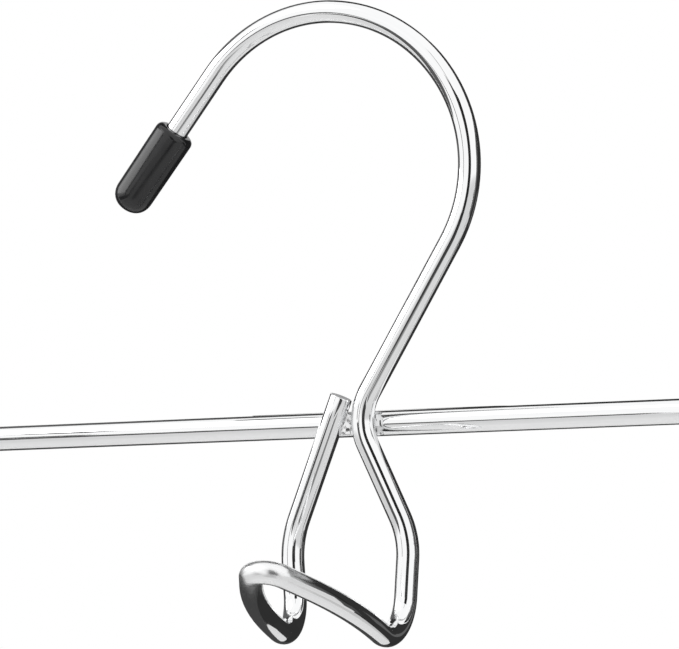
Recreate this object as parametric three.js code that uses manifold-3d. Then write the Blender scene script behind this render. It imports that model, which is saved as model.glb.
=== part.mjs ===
// A stackable clip hanger, in millimetres with +Z up. One bent wire makes the hook, the slanted stem and a
// loop whose front is a tongue for the next hanger's hook. A straight bar is welded behind that wire and
// carries two sprung clips between vinyl end caps.
// The origin is the hook's seat under the top of its curve, X runs along the bar and -Y along the tongue.
import * as THREE from 'three';
import { mergeVertices } from 'three/addons/utils/BufferGeometryUtils.js';
import Module from 'manifold-3d';

// Hook and stem, measured to the middle of the wire
const WIRE_DIAMETER = 4;
const HOOK_RADIUS = 26.75;
const HOOK_TIP_ANGLE = 140.3; // degrees from +X, where the straight tip leaves the curve
const HOOK_TIP_RUN = 26.5; // from the curve to the wire's cut end, inside the vinyl tip
const HOOK_CENTRE_ABOVE_BAR = 45.25;
const STEM_CORNER_X = 3.4;
const STEM_CORNER_ABOVE_BAR = 1.25;
const STEM_BEND = 10;

// Stacking loop and tongue: corners of the bent wire before its bends are rounded
const LOOP_CENTRE_X = 0.9;
const ELBOW_HALF_WIDTH = 11.1;
const ELBOW_BELOW_BAR = 19.75;
const ELBOW_BACK = 0.9;
const ELBOW_BEND = 16;
const BASE_HALF_WIDTH = 9.8;
const BASE_BELOW_BAR = 39.65;
const BASE_FORWARD = 1.1;
const BASE_LEFT_LIFT = 1.1; // the left bend sits this much higher than the right one
const BASE_BEND = 7;
const TONGUE_BOW_HALF_WIDTH = 9.2;
const TONGUE_BOW_SHARE = 0.5; // how far out along the tongue its sides turn in
const TONGUE_BOW_BEND = 60;
const TONGUE_APEX_FORWARD = 41.4;
const TONGUE_APEX_BELOW_BAR = 21.45;
const TONGUE_APEX_BEND = 3.2;
const FREE_END_ABOVE_BAR = 4.95;
const FREE_END_GAP = 0.15; // between the wire's cut end and the stem

// Bar and welds
const BAR_DIAMETER = 4.5;
const BAR_LENGTH = 350;
const WELD_GAP = 0.2;
const WELD_HALF_HEIGHT = 2.2;
const WELD_RADIUS = 1.5;

// Vinyl caps on the hook's tip and on the bar's ends
const CAP_SLACK = 0.15;
const CAP_MOUTH_LIP = 0.7;
const HOOK_CAP_START = 12.2; // from the end of the hook's curve to the cap's mouth
const HOOK_CAP_LENGTH = 17;
const HOOK_CAP_WALL = 1.6; // at the mouth
const HOOK_CAP_TAPER = 0.6; // in diameter, from the mouth to the round end
const BAR_CAP_LENGTH = 14;
const BAR_CAP_END_WALL = 1.5;
const BAR_CAP_WALL = 1.5;
const BAR_CAP_TAPER = 0.4;

// Clips: heights are from the bar's axis, offsets from the clip's middle plane to the middle of the plate
const CLIP_FROM_BAR_END = 35; // to the clip's middle, where it rests
const PLATE = 1;
const RUNNING_GAP = 0.3;
const BAR_HOLE_SLACK = 0.25;
const EAR_WALL = 1.9; // round the bar's hole
const EAR_CORNER = 1.5;
const FRONT_EAR_SPAN = 22;
const WEB_FROM_SPRING = 2.4; // the web is the upright plate between the ears
const WEB_PAST_EARS = 0.6; // above and below
const TAB_HEIGHT = 18;
const TAB_LEAN = 4.6; // from the web out to the finger tab's end
const TAB_WIDTH = 18;
const TAB_CORNER = 5;
const LIP_WIDTH = 28;
const LIP_TOP = 26;
const LIP_HEIGHT = 8;
const LIP_CORNER = 2;
const FULL_WIDTH_ABOVE_LIP = 4; // where the jaw's sides have flared to the lip's width
const PLATE_BEND = 4;
const OUTLINE_BEND = 3;
const PAD_WALL = 1.2;
const PAD_SLACK = 0.15;
const PAD_FACE_GAP = 0.3; // between the two closed pads
const PAD_BELOW_LIP_TOP = 0.6;
const PAD_TOP_CORNER = 1.5;
const PAD_CORNER = 3;

// Clip spring: a torsion coil round the bar with a leg behind each finger tab
const SPRING_WIRE = 1.2;
const SPRING_SLACK = 0.45; // round the bar
const SPRING_TURN_GAP = 0.6;
const SPRING_FULL_TURNS = 6;
const SPRING_LEG_BELOW_TAB_END = 4;
const SPRING_STEPS_PER_TURN = 8;
const SPRING_SIDES = 5;

// Mesh fineness
const WIRE_SIDES = 12;
const WIRE_STEP = 2;
const CROSSING_STEP = 0.25; // along the wire, to find where it crosses the bar
const ROUND_SIDES = 24;
const ARC_DIVISIONS = 4;

// Places that follow from the sizes above
const WIRE_RADIUS = WIRE_DIAMETER / 2;
const BAR_RADIUS = BAR_DIAMETER / 2;
const HOOK_CENTRE_Z = WIRE_RADIUS - HOOK_RADIUS;
const BAR_Z = HOOK_CENTRE_Z - HOOK_CENTRE_ABOVE_BAR;
const BAR_Y = WIRE_RADIUS + BAR_RADIUS + WELD_GAP;
const CLIP_REST_X = BAR_LENGTH / 2 - CLIP_FROM_BAR_END;
const EAR_RADIUS = BAR_RADIUS + BAR_HOLE_SLACK + EAR_WALL;
const REAR_EAR_SPAN = FRONT_EAR_SPAN - 2 * (PLATE + RUNNING_GAP);
const SPRING_RADIUS = BAR_RADIUS + SPRING_SLACK + SPRING_WIRE / 2; // to the middle of the spring's wire
const SPRING_PITCH = SPRING_WIRE + SPRING_TURN_GAP;
const SPRING_LEG_HEIGHT = TAB_HEIGHT - SPRING_LEG_BELOW_TAB_END;
const WEB_OFFSET = SPRING_RADIUS + SPRING_WIRE / 2 + WEB_FROM_SPRING + PLATE / 2;
const WEB_HALF_HEIGHT = EAR_RADIUS + WEB_PAST_EARS;
const TAB_OFFSET = WEB_OFFSET + TAB_LEAN;
const LIP_OFFSET = PAD_FACE_GAP / 2 + PAD_WALL + PAD_SLACK + PLATE / 2;
const LIP_BOTTOM = LIP_TOP + LIP_HEIGHT;
const PAD_TOP = LIP_TOP + PAD_BELOW_LIP_TOP;

const X_AXIS = new THREE.Vector3(1, 0, 0);
const Y_AXIS = new THREE.Vector3(0, 1, 0);
const Z_AXIS = new THREE.Vector3(0, 0, 1);

const chrome = new THREE.MeshStandardMaterial({ color: 0xd8dadc, roughness: 0.1, metalness: 1 });
const weldMetal = new THREE.MeshStandardMaterial({ color: 0xa8aaad, roughness: 0.35, metalness: 1 });
const springSteel = new THREE.MeshStandardMaterial({ color: 0xb4b7ba, roughness: 0.25, metalness: 1 });
const blackVinyl = new THREE.MeshStandardMaterial({ color: 0x171718, roughness: 0.45, metalness: 0 });

const wasm = await Module();
wasm.setup();

function solidFrom(geometry) {
  const bare = geometry.clone();
  bare.deleteAttribute('normal');
  bare.deleteAttribute('uv');
  const merged = mergeVertices(bare);
  return new wasm.Manifold(new wasm.Mesh({
    numProp: 3,
    vertProperties: merged.attributes.position.array,
    triVerts: new Uint32Array(merged.index.array),
  }));
}

function geometryFrom(solid) {
  const { vertProperties, triVerts } = solid.getMesh();
  const geometry = new THREE.BufferGeometry();
  geometry.setAttribute('position', new THREE.BufferAttribute(vertProperties, 3));
  geometry.setIndex(new THREE.BufferAttribute(triVerts, 1));
  geometry.computeVertexNormals();
  return geometry;
}

function namedMesh(name, geometry, material) {
  const mesh = new THREE.Mesh(geometry, material);
  mesh.name = name;
  return mesh;
}

// A circular arc in space: it starts on the outward side of its centre and sets off forward.
class SpaceArc extends THREE.Curve {
  constructor(centre, outward, forward, radius, sweep) {
    super();
    Object.assign(this, { centre, outward, forward, radius, sweep });
  }

  getPoint(t, target = new THREE.Vector3()) {
    const angle = t * this.sweep;
    return target.copy(this.centre)
      .addScaledVector(this.outward, this.radius * Math.cos(angle))
      .addScaledVector(this.forward, this.radius * Math.sin(angle));
  }
}

// Adds straight runs through the corners to a path, with each inner corner rounded to its bend radius, or to
// what its runs leave room for.
function addBentRuns(path, corners) {
  const toward = (i, j) => corners[j].at.clone().sub(corners[i].at).normalize();
  const halfAngles = corners.map((_, i) => (
    corners[i].bend ? toward(i, i - 1).angleTo(toward(i, i + 1)) / 2 : Math.PI / 2));
  const setbacks = corners.map(({ bend = 0 }, i) => bend / Math.tan(halfAngles[i]));
  const roomAfter = (i) => {
    const run = corners[i].at.distanceTo(corners[i + 1].at);
    return Math.min(1, run / (setbacks[i] + setbacks[i + 1]));
  };
  let runStart = corners[0].at;
  for (let i = 1; i < corners.length - 1; i++) {
    const { at } = corners[i];
    const halfAngle = halfAngles[i];
    const setback = setbacks[i] * Math.min(roomAfter(i - 1), roomAfter(i));
    const bend = setback * Math.tan(halfAngle);
    const back = toward(i, i - 1);
    const onward = toward(i, i + 1);
    const arcStart = at.clone().addScaledVector(back, setback);
    const middle = back.clone().add(onward).normalize();
    const centre = at.clone().addScaledVector(middle, bend / Math.sin(halfAngle));
    const outward = arcStart.clone().sub(centre).normalize();
    path.add(new THREE.LineCurve3(runStart, arcStart));
    path.add(new SpaceArc(centre, outward, back.clone().negate(), bend, Math.PI - 2 * halfAngle));
    runStart = at.clone().addScaledVector(onward, setback);
  }
  path.add(new THREE.LineCurve3(runStart, corners.at(-1).at));
  return path;
}

function roundWire(path, diameter) {
  const section = new THREE.Shape().absarc(0, 0, diameter / 2, 0, 2 * Math.PI);
  return new THREE.ExtrudeGeometry(section, {
    extrudePath: path,
    steps: Math.round(path.getLength() / WIRE_STEP),
    curveSegments: WIRE_SIDES / 2,
  });
}

function roundBar(diameter, length) {
  return new THREE.CylinderGeometry(diameter / 2, diameter / 2, length, ROUND_SIDES).rotateZ(Math.PI / 2);
}

// Hook wire: straight tip, hook curve, stem, right leg, tongue, left leg and the cut end beside the stem
function hookWirePath() {
  const hookCentre = new THREE.Vector3(0, 0, HOOK_CENTRE_Z);
  const tipAngle = THREE.MathUtils.degToRad(HOOK_TIP_ANGLE);
  const tipOutward = new THREE.Vector3(Math.cos(tipAngle), 0, Math.sin(tipAngle));
  const tipForward = new THREE.Vector3(Math.sin(tipAngle), 0, -Math.cos(tipAngle));
  const tipStart = hookCentre.clone().addScaledVector(tipOutward, HOOK_RADIUS);
  const cutTip = tipStart.clone().addScaledVector(tipForward, -HOOK_TIP_RUN);

  // The stem leaves the curve as the tangent that runs through its corner at the bar.
  const stemCorner = new THREE.Vector3(STEM_CORNER_X, 0, BAR_Z + STEM_CORNER_ABOVE_BAR);
  const toCorner = stemCorner.clone().sub(hookCentre);
  const stemAngle = Math.atan2(toCorner.z, toCorner.x) + Math.acos(HOOK_RADIUS / toCorner.length());
  const stemOutward = new THREE.Vector3(Math.cos(stemAngle), 0, Math.sin(stemAngle));
  const stemStart = hookCentre.clone().addScaledVector(stemOutward, HOOK_RADIUS);

  const apex = new THREE.Vector3(LOOP_CENTRE_X, -TONGUE_APEX_FORWARD, BAR_Z - TONGUE_APEX_BELOW_BAR);
  const legCorners = (side, baseLift) => {
    const elbowX = LOOP_CENTRE_X + side * ELBOW_HALF_WIDTH;
    const baseX = LOOP_CENTRE_X + side * BASE_HALF_WIDTH;
    const bowX = LOOP_CENTRE_X + side * TONGUE_BOW_HALF_WIDTH;
    const base = new THREE.Vector3(baseX, -BASE_FORWARD, BAR_Z - BASE_BELOW_BAR + baseLift);
    const bow = base.clone().lerp(apex, TONGUE_BOW_SHARE).setX(bowX);
    return [
      { at: new THREE.Vector3(elbowX, ELBOW_BACK, BAR_Z - ELBOW_BELOW_BAR), bend: ELBOW_BEND },
      { at: base, bend: BASE_BEND },
      { at: bow, bend: TONGUE_BOW_BEND },
    ];
  };

  // The cut end lies beside the stem, level with the point of the stem's line that stemAtEnd gives.
  const upStem = stemStart.clone().sub(stemCorner).normalize();
  const stemAtEnd = stemCorner.clone()
    .addScaledVector(upStem, (FREE_END_ABOVE_BAR - STEM_CORNER_ABOVE_BAR) / upStem.z);
  const freeEnd = stemAtEnd.clone().setX(stemAtEnd.x - (WIRE_DIAMETER + FREE_END_GAP) / upStem.z);

  const path = new THREE.CurvePath();
  path.add(new THREE.LineCurve3(cutTip, tipStart));
  path.add(new SpaceArc(hookCentre, tipOutward, tipForward, HOOK_RADIUS, tipAngle - stemAngle));
  return addBentRuns(path, [
    { at: stemStart },
    { at: stemCorner, bend: STEM_BEND },
    ...legCorners(1, 0),
    { at: apex, bend: TONGUE_APEX_BEND },
    ...legCorners(-1, BASE_LEFT_LIFT).reverse(),
    { at: freeEnd },
  ]);
}

// A vinyl cap along +Y from its open mouth to its round closed end, with a blind bore for the wire.
function vinylCap(wireDiameter, boreDepth, length, wall, taper) {
  const bore = wireDiameter / 2 + CAP_SLACK;
  const mouthRadius = bore + wall;
  const endRadius = mouthRadius - taper / 2;
  const profile = [
    new THREE.Vector2(0, boreDepth + CAP_SLACK),
    new THREE.Vector2(bore, boreDepth + CAP_SLACK),
    new THREE.Vector2(bore, 0),
    new THREE.Vector2(mouthRadius - CAP_MOUTH_LIP, 0),
    new THREE.Vector2(mouthRadius, CAP_MOUTH_LIP),
  ];
  for (let i = 0; i < ARC_DIVISIONS; i++) {
    const angle = (i / ARC_DIVISIONS) * (Math.PI / 2);
    const along = length - endRadius + endRadius * Math.sin(angle);
    profile.push(new THREE.Vector2(endRadius * Math.cos(angle), along));
  }
  profile.push(new THREE.Vector2(0, length));
  return new THREE.LatheGeometry(profile, ROUND_SIDES);
}

function hookTip(wirePath) {
  const cutTip = wirePath.getPoint(0);
  const outward = wirePath.curves[0].getTangent(0).negate();
  const boreDepth = HOOK_TIP_RUN - HOOK_CAP_START;
  const geometry = vinylCap(WIRE_DIAMETER, boreDepth, HOOK_CAP_LENGTH, HOOK_CAP_WALL, HOOK_CAP_TAPER);
  const tip = namedMesh('hook_tip', geometry, blackVinyl);
  tip.quaternion.setFromUnitVectors(Y_AXIS, outward);
  tip.position.copy(cutTip).addScaledVector(outward, -boreDepth);
  return tip;
}

function crossBar() {
  const bar = namedMesh('cross_bar', roundBar(BAR_DIAMETER, BAR_LENGTH), chrome);
  bar.position.set(0, BAR_Y, BAR_Z);
  return bar;
}

function barCap(name, side) {
  const boreDepth = BAR_CAP_LENGTH - BAR_CAP_END_WALL;
  const geometry = vinylCap(BAR_DIAMETER, boreDepth, BAR_CAP_LENGTH, BAR_CAP_WALL, BAR_CAP_TAPER);
  const cap = namedMesh(name, geometry, blackVinyl);
  cap.quaternion.setFromUnitVectors(Y_AXIS, X_AXIS.clone().multiplyScalar(side));
  cap.position.set(side * (BAR_LENGTH / 2 - boreDepth), BAR_Y, BAR_Z);
  return cap;
}

// Weld metal fills the grooves where the wire crosses the bar: a bead, less the room that wire and bar take.
function welds(wirePath) {
  const points = wirePath.getSpacedPoints(Math.round(wirePath.getLength() / CROSSING_STEP));
  const crossings = points.filter((p, i) => i > 0 && (p.z - BAR_Z) * (points[i - 1].z - BAR_Z) < 0);
  const [stemCrossing, endCrossing] = crossings.map((p) => p.x);
  const wireRoom = solidFrom(roundWire(wirePath, WIRE_DIAMETER + 2 * WELD_GAP));
  const barRoom = solidFrom(roundBar(BAR_DIAMETER + 2 * WELD_GAP, BAR_LENGTH).translate(0, BAR_Y, BAR_Z));
  const bead = (name, x, y) => {
    const blob = new THREE.SphereGeometry(1, WIRE_SIDES, WIRE_SIDES / 2)
      .rotateX(Math.PI / 2)
      .scale(WELD_RADIUS, WELD_RADIUS, WELD_HALF_HEIGHT)
      .translate(x, y, BAR_Z);
    const solid = solidFrom(blob).subtract(wireRoom).subtract(barRoom);
    return namedMesh(name, geometryFrom(solid), weldMetal);
  };
  const grooveX = stemCrossing + WIRE_RADIUS;
  return [
    bead('weld_middle', (stemCrossing + endCrossing) / 2, WIRE_RADIUS / 2),
    bead('weld_stem', grooveX, WIRE_RADIUS - WELD_GAP),
  ];
}

// Turns a flat outline in the Y-Z plane into a slab along X that starts at x.
function slabAlongX(outline, x, depth) {
  const frame = new THREE.Matrix4().makeBasis(Y_AXIS, Z_AXIS, X_AXIS);
  return new THREE.ExtrudeGeometry(outline, { depth, bevelEnabled: false })
    .applyMatrix4(frame)
    .translate(x, 0, 0);
}

// Turns a flat outline in the X-Z plane into a slab along Y, between two offsets on one side of the plane.
function slabAlongY(outline, side, innerOffset, outerOffset) {
  const frame = new THREE.Matrix4().makeBasis(X_AXIS, Z_AXIS, Y_AXIS.clone().negate());
  const depth = outerOffset - innerOffset;
  const yStart = side < 0 ? -innerOffset : outerOffset;
  return new THREE.ExtrudeGeometry(outline, { depth, bevelEnabled: false })
    .applyMatrix4(frame)
    .translate(0, yStart, 0);
}

// Points along a bent path, with its directions there: the ends of straight runs and a few on each arc.
function stations(path) {
  const found = path.curves.flatMap((curve) => {
    const divisions = curve.isLineCurve3 ? 1 : ARC_DIVISIONS;
    return Array.from({ length: divisions }, (_, i) => ({
      point: curve.getPoint(i / divisions),
      tangent: curve.getTangent(i / divisions),
    }));
  });
  const last = path.curves.at(-1);
  return [...found, { point: last.getPoint(1), tangent: last.getTangent(1) }];
}

const planePoint = (u, z) => new THREE.Vector3(u, 0, z);

// A closed outline, symmetric about u = 0, from the corners of its right half listed from the top down.
function symmetricOutline(top, rightCorners, bottom) {
  const right = rightCorners.map(([u, z, bend]) => ({ at: planePoint(u, z), bend }));
  const left = right.map(({ at, bend }) => ({ at: planePoint(-at.x, at.z), bend })).reverse();
  const ring = [{ at: planePoint(0, top) }, ...right, { at: planePoint(0, bottom) }];
  const rightHalf = addBentRuns(new THREE.CurvePath(), ring);
  const leftHalf = addBentRuns(new THREE.CurvePath(), [ring.at(-1), ...left, ring[0]]);
  const points = [...stations(rightHalf).slice(0, -1), ...stations(leftHalf).slice(0, -1)];
  return new THREE.Shape(points.map(({ point }) => new THREE.Vector2(point.x, point.z)));
}

// A pressed jaw: a bent strip cut to its front outline, with two ears that ride on the bar.
// side is -1 for the front jaw and 1 for the rear one.
function jawGeometry(side, earSpan) {
  const bendLine = addBentRuns(new THREE.CurvePath(), [
    { at: planePoint(side * TAB_OFFSET, TAB_HEIGHT) },
    { at: planePoint(side * WEB_OFFSET, WEB_HALF_HEIGHT), bend: PLATE_BEND },
    { at: planePoint(side * WEB_OFFSET, -WEB_HALF_HEIGHT), bend: PLATE_BEND },
    { at: planePoint(side * LIP_OFFSET, -LIP_TOP), bend: PLATE_BEND },
    { at: planePoint(side * LIP_OFFSET, -LIP_BOTTOM) },
  ]);
  const edge = (half) => stations(bendLine).map(({ point, tangent }) => (
    new THREE.Vector2(point.x - half * tangent.z, point.z + half * tangent.x)));
  const stripSection = new THREE.Shape([...edge(PLATE / 2), ...edge(-PLATE / 2).reverse()]);
  const strip = solidFrom(slabAlongX(stripSection, -LIP_WIDTH, 2 * LIP_WIDTH));

  const tabEnd = TAB_HEIGHT - PLATE / 2; // a level cut just under the strip's slanted end
  const shoulder = WEB_HALF_HEIGHT + OUTLINE_BEND;
  const outline = symmetricOutline(tabEnd, [
    [TAB_WIDTH / 2, tabEnd, TAB_CORNER],
    [TAB_WIDTH / 2, shoulder, OUTLINE_BEND],
    [earSpan / 2, WEB_HALF_HEIGHT, EAR_CORNER],
    [earSpan / 2, -WEB_HALF_HEIGHT, OUTLINE_BEND],
    [LIP_WIDTH / 2, FULL_WIDTH_ABOVE_LIP - LIP_TOP, OUTLINE_BEND],
    [LIP_WIDTH / 2, -LIP_BOTTOM, LIP_CORNER],
  ], -LIP_BOTTOM);
  const plate = strip.intersect(solidFrom(slabAlongY(outline, side, 0, TAB_OFFSET + PLATE)));

  const earOutline = new THREE.Shape();
  earOutline.moveTo(side * WEB_OFFSET, -EAR_RADIUS);
  earOutline.lineTo(side * WEB_OFFSET, EAR_RADIUS);
  earOutline.absarc(0, 0, EAR_RADIUS, Math.PI / 2, -Math.PI / 2, side < 0);
  const rightEar = solidFrom(slabAlongX(earOutline, earSpan / 2 - PLATE, PLATE));
  const leftEar = solidFrom(slabAlongX(earOutline, -earSpan / 2, PLATE));
  const barHole = solidFrom(roundBar(BAR_DIAMETER + 2 * BAR_HOLE_SLACK, 2 * FRONT_EAR_SPAN));
  return geometryFrom(plate.add(rightEar).add(leftEar).subtract(barHole));
}

// A vinyl sleeve on a jaw's lip, with a slot that the plate fills.
function padGeometry(side) {
  const halfWidth = LIP_WIDTH / 2 + PAD_SLACK + PAD_WALL;
  const bottom = -LIP_BOTTOM - PAD_SLACK - PAD_WALL;
  const outline = symmetricOutline(-PAD_TOP, [
    [halfWidth, -PAD_TOP, PAD_TOP_CORNER],
    [halfWidth, bottom, PAD_CORNER],
  ], bottom);
  const slotHalf = PLATE / 2 + PAD_SLACK;
  const block = solidFrom(slabAlongY(outline, side, PAD_FACE_GAP / 2, LIP_OFFSET + slotHalf + PAD_WALL));
  const slotBottom = -LIP_BOTTOM - PAD_SLACK;
  const slotHeight = PLATE - PAD_TOP - slotBottom;
  const slot = new THREE.BoxGeometry(LIP_WIDTH + 2 * PAD_SLACK, 2 * slotHalf, slotHeight)
    .translate(0, side * LIP_OFFSET, slotBottom + slotHeight / 2);
  return geometryFrom(block.subtract(solidFrom(slot)));
}

// The spring's middle line: front leg, coil from front to rear below the bar first, rear leg.
function springPoints() {
  const tabLean = Math.atan2(TAB_LEAN, TAB_HEIGHT - WEB_HALF_HEIGHT);
  const tabOffset = WEB_OFFSET + (SPRING_LEG_HEIGHT - WEB_HALF_HEIGHT) * Math.tan(tabLean);
  const fromTab = (PLATE / 2 + RUNNING_GAP + SPRING_WIRE / 2) / Math.cos(tabLean);
  const legEnd = new THREE.Vector2(tabOffset - fromTab, SPRING_LEG_HEIGHT);
  const lean = Math.acos(SPRING_RADIUS / legEnd.length()) - legEnd.angle();
  const sweep = Math.PI - 2 * lean + 2 * Math.PI * SPRING_FULL_TURNS;
  const halfLength = (SPRING_PITCH * sweep) / (4 * Math.PI);
  const steps = Math.round((sweep / (2 * Math.PI)) * SPRING_STEPS_PER_TURN);
  const coil = Array.from({ length: steps + 1 }, (_, i) => {
    const angle = Math.PI + lean + (sweep * i) / steps;
    const x = halfLength * ((2 * i) / steps - 1);
    return new THREE.Vector3(x, SPRING_RADIUS * Math.cos(angle), SPRING_RADIUS * Math.sin(angle));
  });
  const frontEnd = new THREE.Vector3(-halfLength, -legEnd.x, legEnd.y);
  const rearEnd = new THREE.Vector3(halfLength, legEnd.x, legEnd.y);
  return [frontEnd, ...coil, rearEnd];
}

// Least gap of a tube to itself: points of its middle line at least half a turn apart are compared.
function leastGapToItself(points) {
  const halfTurn = SPRING_STEPS_PER_TURN / 2;
  let least = Infinity;
  points.forEach((p, i) => {
    points.slice(i + halfTurn).forEach((q) => {
      least = Math.min(least, p.distanceTo(q) - SPRING_WIRE);
    });
  });
  return least;
}

// One unbroken tube: a ring of points round each point of the middle line, joined side by side and closed at
// both ends.
function springGeometry(points) {
  const positions = [];
  points.forEach((point, i) => {
    const before = points[Math.max(i - 1, 0)];
    const after = points[Math.min(i + 1, points.length - 1)];
    const tangent = after.clone().sub(before).normalize();
    const across = X_AXIS.clone().addScaledVector(tangent, -tangent.x).normalize();
    const up = tangent.clone().cross(across);
    for (let k = 0; k < SPRING_SIDES; k++) {
      const angle = (2 * Math.PI * k) / SPRING_SIDES;
      const corner = point.clone()
        .addScaledVector(across, (SPRING_WIRE / 2) * Math.cos(angle))
        .addScaledVector(up, (SPRING_WIRE / 2) * Math.sin(angle));
      positions.push(corner.x, corner.y, corner.z);
    }
  });
  const index = [];
  const lastRing = (points.length - 1) * SPRING_SIDES;
  for (let ring = 0; ring < lastRing; ring += SPRING_SIDES) {
    for (let k = 0; k < SPRING_SIDES; k++) {
      const next = (k + 1) % SPRING_SIDES;
      index.push(ring + k, ring + next, ring + SPRING_SIDES + k);
      index.push(ring + next, ring + SPRING_SIDES + next, ring + SPRING_SIDES + k);
    }
  }
  for (let k = 1; k < SPRING_SIDES - 1; k++) {
    index.push(0, k + 1, k);
    index.push(lastRing, lastRing + k, lastRing + k + 1);
  }
  const geometry = new THREE.BufferGeometry();
  geometry.setAttribute('position', new THREE.Float32BufferAttribute(positions, 3));
  geometry.setIndex(index);
  geometry.computeVertexNormals();
  return geometry;
}

function clip(name, side) {
  const springLine = springPoints();
  console.log(`${name}_spring least gap to itself: ${leastGapToItself(springLine).toFixed(2)} mm`);
  const group = new THREE.Group();
  group.position.set(side * CLIP_REST_X, BAR_Y, BAR_Z);
  group.add(
    namedMesh(`${name}_front_jaw`, jawGeometry(-1, FRONT_EAR_SPAN), chrome),
    namedMesh(`${name}_rear_jaw`, jawGeometry(1, REAR_EAR_SPAN), chrome),
    namedMesh(`${name}_front_pad`, padGeometry(-1), blackVinyl),
    namedMesh(`${name}_rear_pad`, padGeometry(1), blackVinyl),
    namedMesh(`${name}_spring`, springGeometry(springLine), springSteel),
  );
  return group;
}

const hookWire = hookWirePath();
const hanger = new THREE.Group();
hanger.add(
  namedMesh('hook_wire', roundWire(hookWire, WIRE_DIAMETER), chrome),
  hookTip(hookWire),
  crossBar(),
  ...welds(hookWire),
  barCap('left_bar_cap', -1),
  barCap('right_bar_cap', 1),
  clip('left_clip', -1),
  clip('right_clip', 1),
);

export default hanger;
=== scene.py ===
"""Looks of the stackable clip hanger: chrome wire, vinyl caps and sprung clips built round the CAD frame.

Everything is in metres in the CAD model's frame: the origin is the hook's seat, X runs along the bar,
-Y along the tongue and +Z up. Sizes that the CAD model also has are repeated here in millimetres times MM.
"""
import math

import bmesh
import bpy
import numpy as np
from mathutils import Matrix, Vector, noise


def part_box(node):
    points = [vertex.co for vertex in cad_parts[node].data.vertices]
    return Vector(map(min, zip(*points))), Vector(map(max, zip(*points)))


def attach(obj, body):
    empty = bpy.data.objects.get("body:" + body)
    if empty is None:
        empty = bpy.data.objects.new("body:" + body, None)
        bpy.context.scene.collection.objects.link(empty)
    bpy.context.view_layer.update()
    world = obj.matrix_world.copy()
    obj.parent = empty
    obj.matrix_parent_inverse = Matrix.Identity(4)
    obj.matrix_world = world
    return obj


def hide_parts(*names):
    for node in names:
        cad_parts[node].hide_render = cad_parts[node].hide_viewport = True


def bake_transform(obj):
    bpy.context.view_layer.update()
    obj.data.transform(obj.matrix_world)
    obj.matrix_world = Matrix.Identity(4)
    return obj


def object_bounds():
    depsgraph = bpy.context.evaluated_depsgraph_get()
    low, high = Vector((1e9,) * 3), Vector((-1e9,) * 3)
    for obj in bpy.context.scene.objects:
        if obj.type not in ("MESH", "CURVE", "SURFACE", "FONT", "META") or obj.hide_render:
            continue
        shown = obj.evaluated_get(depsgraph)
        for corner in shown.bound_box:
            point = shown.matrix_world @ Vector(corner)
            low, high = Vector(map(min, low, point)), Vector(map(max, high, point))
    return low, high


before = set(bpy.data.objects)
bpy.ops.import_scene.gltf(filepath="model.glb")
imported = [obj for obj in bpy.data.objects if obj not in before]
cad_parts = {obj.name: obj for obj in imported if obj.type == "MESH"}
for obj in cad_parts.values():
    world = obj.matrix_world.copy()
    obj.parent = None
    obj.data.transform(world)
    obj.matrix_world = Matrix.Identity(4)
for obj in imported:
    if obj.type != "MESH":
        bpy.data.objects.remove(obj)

cad_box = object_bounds()

MM = 0.001

# Photograph's camera
AIM_POINT = Vector((1.13, 0, -52.51)) * MM
VIEW_DISTANCE = 800 * MM
VIEW_YAW = math.radians(23.24)
VIEW_PITCH = math.radians(-0.58)
VIEW_ROLL = math.radians(2.58)
LENS_MM = 244.1
SENSOR_MM = 36

# Bent wire: corners of its middle line before its bends are rounded
WIRE_RADIUS = 2 * MM
HOOK_RADIUS = 26.75 * MM
HOOK_TIP_ANGLE = math.radians(140.3)
HOOK_TIP_RUN = 26.5 * MM
STEM_CORNER_X = 3.4 * MM
STEM_CORNER_ABOVE_BAR = 1.25 * MM
STEM_BEND = 10 * MM
LOOP_CENTRE_X = 0.9 * MM
ELBOW_HALF_WIDTH = 11.1 * MM
ELBOW_BELOW_BAR = 19.75 * MM
ELBOW_BACK = 0.9 * MM
ELBOW_BEND = 16 * MM
BASE_HALF_WIDTH = 9.8 * MM
BASE_BELOW_BAR = 39.65 * MM
BASE_FORWARD = 1.1 * MM
BASE_LEFT_LIFT = 1.1 * MM
BASE_BEND = 7 * MM
TONGUE_BOW_HALF_WIDTH = 9.2 * MM
TONGUE_BOW_SHARE = 0.5
TONGUE_BOW_BEND = 60 * MM
TONGUE_APEX_FORWARD = 41.4 * MM
TONGUE_APEX_BELOW_BAR = 21.45 * MM
TONGUE_APEX_BEND = 3.2 * MM
FREE_END_ABOVE_BAR = 4.95 * MM
FREE_END_GAP = 0.15 * MM
CUT_EDGE = 0.2 * MM
SHEAR_SLANT = -0.08
STREAK_LENGTH = 50
WEAR_CORE = 4 * MM
WEAR_REACH = 18 * MM
WEAR_ROUGHNESS = 0.24

# Weld metal between the wire and the bar
WELD_FILLET = 1.1 * MM
WELD_HOLLOW = 0.15 * MM
WELD_FACE_BACK = 0.4 * MM
WELD_WOBBLE = 0.07 * MM
WELD_WOBBLE_SPREAD = 0.9
WELD_REACH = 0.78
WELD_END_ROUND = 0.35 * MM
WELD_SINK = WIRE_RADIUS / 4
WELD_BURIED_AT = 0.9 * WIRE_RADIUS
STRAND_LOOK = 5 * MM

# Vinyl caps
CAP_SLACK = 0.15 * MM
CAP_LIP = 1.1 * MM
HOOK_CAP_START = 12.2 * MM
HOOK_CAP_LENGTH = 17 * MM
HOOK_CAP_WALL = 1.45 * MM
HOOK_CAP_TAPER = 0.2 * MM
BAR_CAP_LENGTH = 14 * MM
BAR_CAP_END_WALL = 1.5 * MM
BAR_CAP_WALL = 1.5 * MM
BAR_CAP_TAPER = 0.4 * MM
CAP_END_POWER = 0.88

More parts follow.
